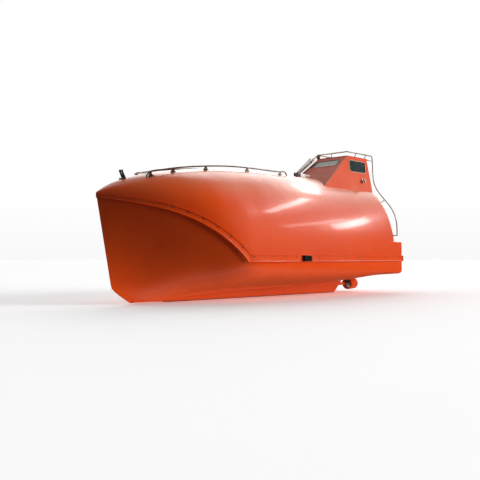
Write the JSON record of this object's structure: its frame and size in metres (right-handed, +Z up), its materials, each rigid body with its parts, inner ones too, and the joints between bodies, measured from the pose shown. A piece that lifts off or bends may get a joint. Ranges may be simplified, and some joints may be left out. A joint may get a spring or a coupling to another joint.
{
  "type": "free-fall enclosed lifeboat",
  "caption": "Totally enclosed free-fall lifeboat: glass-fibre hull and canopy with a swept fender, a conning tower, hand rails, an after door and a steering nozzle.",
  "frame": {"origin": "on the centre plane amidships, at the waterline of the empty boat", "axes": "+X forward along the keel, +Y to port, +Z up"},
  "size_m": [7.1314, 2.5698, 2.95],
  "materials": {
    "orange_laminate": "gloss gelcoat on glass-fibre laminate",
    "stainless_steel": "satin stainless tube and plate",
    "black_steel": "black paint on steel",
    "black_plastic": "matt moulded",
    "window_acrylic": "clear acrylic pane",
    "white_plastic": "moulded",
    "bronze": "cast and polished",
    "grey_paint": "satin paint"
  },
  "bodies": {
    "boat": {"hull_shell": "orange_laminate", "canopy_shell": "orange_laminate", "tower_shell": "orange_laminate", "keel_skeg": "orange_laminate", "fender_port": "orange_laminate", "fender_starboard": "orange_laminate", "fender_stern": "orange_laminate", "window_lip_front": "orange_laminate", "window_lip_port": "orange_laminate", "window_lip_starboard": "orange_laminate", "window_lip_aft": "orange_laminate", "stern_tube": "orange_laminate", "keel_shoe": "stainless_steel", "grab_rail_port": "stainless_steel", "grab_rail_starboard": "stainless_steel", "grab_rail_cross": "stainless_steel", "tower_rail": "stainless_steel", "aft_rail_port": "stainless_steel", "aft_rail_starboard": "stainless_steel", "side_vent_port": "stainless_steel", "side_vent_starboard": "stainless_steel", "release_lug": "stainless_steel", "door_knuckle_lower": "stainless_steel", "door_knuckle_upper": "stainless_steel", "side_plate_port": "stainless_steel", "side_plate_starboard": "stainless_steel", "bow_tow_clevis": "black_steel", "mast_bracket": "black_steel", "side_stop_port": "black_steel", "side_stop_starboard": "black_steel", "helm_seat": "black_plastic", "helm_wheel": "black_plastic", "window_glass_front": "window_acrylic", "window_glass_port": "window_acrylic", "window_glass_starboard": "window_acrylic", "window_glass_aft": "window_acrylic", "canopy_lamp": "white_plastic", "reflector_tube": "white_plastic", "engine_block": "grey_paint", "helm_console": "grey_paint"},
    "door": {"door_panel": "orange_laminate", "door_hinge_lower": "stainless_steel", "door_hinge_upper": "stainless_steel", "door_handle": "stainless_steel"},
    "mast": {"mast_pole": "stainless_steel"},
    "screw": {"propeller_shaft": "stainless_steel", "propeller": "bronze"},
    "nozzle": {"steering_nozzle": "orange_laminate", "nozzle_stock": "stainless_steel", "nozzle_liner": "stainless_steel"}
  },
  "joints": [
    {"name": "door_swing", "type": "hinge", "parent": "boat", "child": "door", "pos_m": [-3.432, -0.372, 0.985], "axis": [0, 0, 1], "range_deg": [0, 110]},
    {"name": "mast_fold", "type": "hinge", "parent": "boat", "child": "mast", "pos_m": [-1.212, 0, 1.84], "axis": [0, 1, 0], "range_deg": [-12, 53.2]},
    {"name": "propeller_spin", "type": "hinge", "parent": "boat", "child": "screw", "pos_m": [-3.05, 0, -0.39], "axis": [1, 0, 0], "continuous": true},
    {"name": "nozzle_steer", "type": "hinge", "parent": "boat", "child": "nozzle", "pos_m": [-3.05, 0, -0.39], "axis": [0, 0, 1], "range_deg": [-30, 30]}
  ]
}
